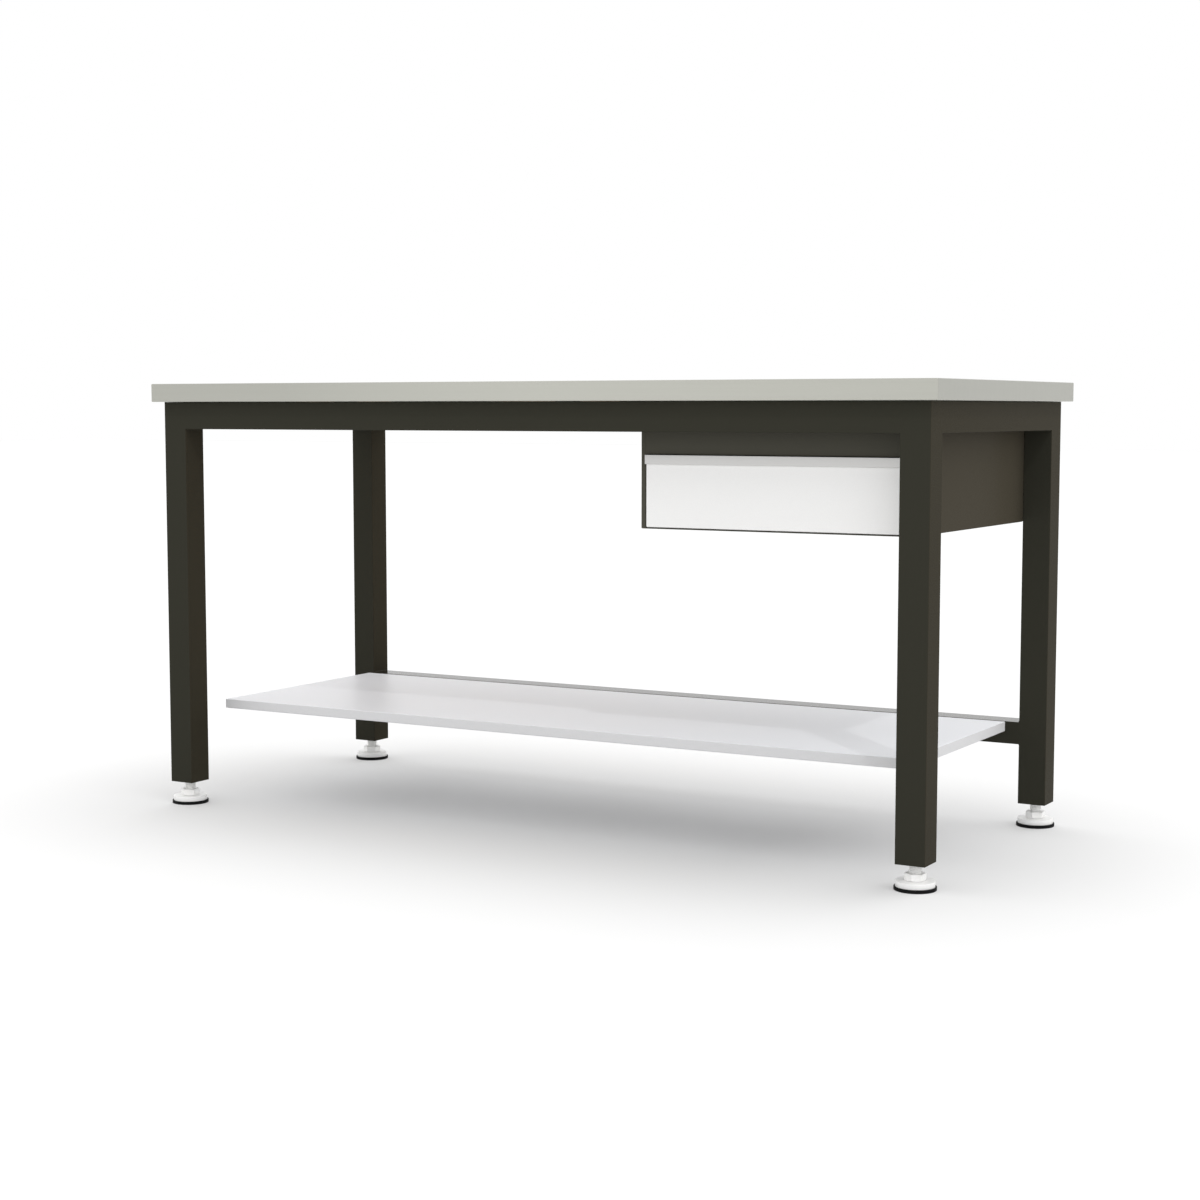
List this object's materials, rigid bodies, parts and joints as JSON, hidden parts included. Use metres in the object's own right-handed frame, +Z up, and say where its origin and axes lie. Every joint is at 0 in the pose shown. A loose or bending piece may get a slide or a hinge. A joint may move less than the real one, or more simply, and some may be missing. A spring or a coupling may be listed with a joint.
{
  "type": "workbench",
  "caption": "Long freestanding workbench with a stainless top on a dark square-tube frame, a drawer under the right end and a low shelf.",
  "frame": {"origin": "on the floor, straight under the middle of the worktop", "axes": "+X to the right along the bench's length, +Y to the rear, +Z up; the drawer opens towards -Y"},
  "size_m": [1.86, 0.8, 0.95],
  "materials": {
    "stainless": "fine brushed stainless sheet",
    "board": "raw chipboard",
    "frame_paint": "dark grey olive powder coat, fine texture",
    "housing_paint": "dark grey olive powder coat, fine texture",
    "pale_paint": "pale grey powder coat, smooth satin",
    "shelf_paint": "light grey powder coat, smooth satin",
    "aluminium": "satin anodised",
    "zinc": "bright zinc plate",
    "foot_metal": "bright zinc plate",
    "rubber": "black rubber"
  },
  "bodies": {
    "frame": {"leg_front_left": "frame_paint", "leg_insert_front_left": "frame_paint", "leg_front_right": "frame_paint", "leg_insert_front_right": "frame_paint", "leg_rear_left": "frame_paint", "leg_insert_rear_left": "frame_paint", "leg_rear_right": "frame_paint", "leg_insert_rear_right": "frame_paint", "front_rail": "frame_paint", "rear_rail": "frame_paint", "end_rail_left": "frame_paint", "end_rail_right": "frame_paint", "lower_rear_rail": "frame_paint", "bearer_left": "frame_paint", "bearer_middle": "frame_paint", "top_tab_front_1": "frame_paint", "top_tab_rear_1": "frame_paint", "top_tab_front_2": "frame_paint", "top_tab_rear_2": "frame_paint", "top_tab_front_3": "frame_paint", "top_tab_rear_3": "frame_paint", "worktop_skin": "stainless", "worktop_board": "board", "shelf_tray": "shelf_paint", "shelf_arm_1": "frame_paint", "shelf_stiffener_1": "shelf_paint", "shelf_arm_2": "frame_paint", "shelf_stiffener_2": "shelf_paint", "shelf_arm_3": "frame_paint", "shelf_stiffener_3": "shelf_paint", "housing_wrapper": "housing_paint", "housing_fascia": "housing_paint", "housing_back": "housing_paint", "housing_hanger_left": "zinc", "slide_spacer_left": "zinc", "slide_outer_left": "zinc", "housing_hanger_right": "zinc", "slide_spacer_right": "zinc", "slide_outer_right": "zinc"},
    "slide_members": {"slide_middle_left": "zinc", "slide_middle_right": "zinc"},
    "drawer": {"drawer_front": "pale_paint", "drawer_box": "pale_paint", "drawer_grip": "aluminium", "slide_inner_left": "zinc", "slide_inner_right": "zinc"},
    "foot_front_left": {"foot_stem_front_left": "foot_metal", "foot_pad_front_left": "foot_metal", "foot_rubber_front_left": "rubber"},
    "foot_front_right": {"foot_stem_front_right": "foot_metal", "foot_pad_front_right": "foot_metal", "foot_rubber_front_right": "rubber"},
    "foot_rear_left": {"foot_stem_rear_left": "foot_metal", "foot_pad_rear_left": "foot_metal", "foot_rubber_rear_left": "rubber"},
    "foot_rear_right": {"foot_stem_rear_right": "foot_metal", "foot_pad_rear_right": "foot_metal", "foot_rubber_rear_right": "rubber"}
  },
  "joints": [
    {"name": "drawer_slide", "type": "slide", "parent": "frame", "child": "drawer", "axis": [0, -1, 0], "range_m": [0, 0.5]},
    {"name": "slide_member_travel", "type": "slide", "parent": "frame", "child": "slide_members", "axis": [0, -1, 0], "range_m": [0, 0.25]},
    {"name": "foot_level_front_left", "type": "slide", "parent": "frame", "child": "foot_front_left", "axis": [0, 0, -1], "range_m": [-0.016, 0.025]},
    {"name": "foot_level_front_right", "type": "slide", "parent": "frame", "child": "foot_front_right", "axis": [0, 0, -1], "range_m": [-0.016, 0.025]},
    {"name": "foot_level_rear_left", "type": "slide", "parent": "frame", "child": "foot_rear_left", "axis": [0, 0, -1], "range_m": [-0.016, 0.025]},
    {"name": "foot_level_rear_right", "type": "slide", "parent": "frame", "child": "foot_rear_right", "axis": [0, 0, -1], "range_m": [-0.016, 0.025]}
  ],
  "couplings": [
    {"joint": "slide_member_travel", "follows": "drawer_slide", "ratio": 0.5}
  ]
}
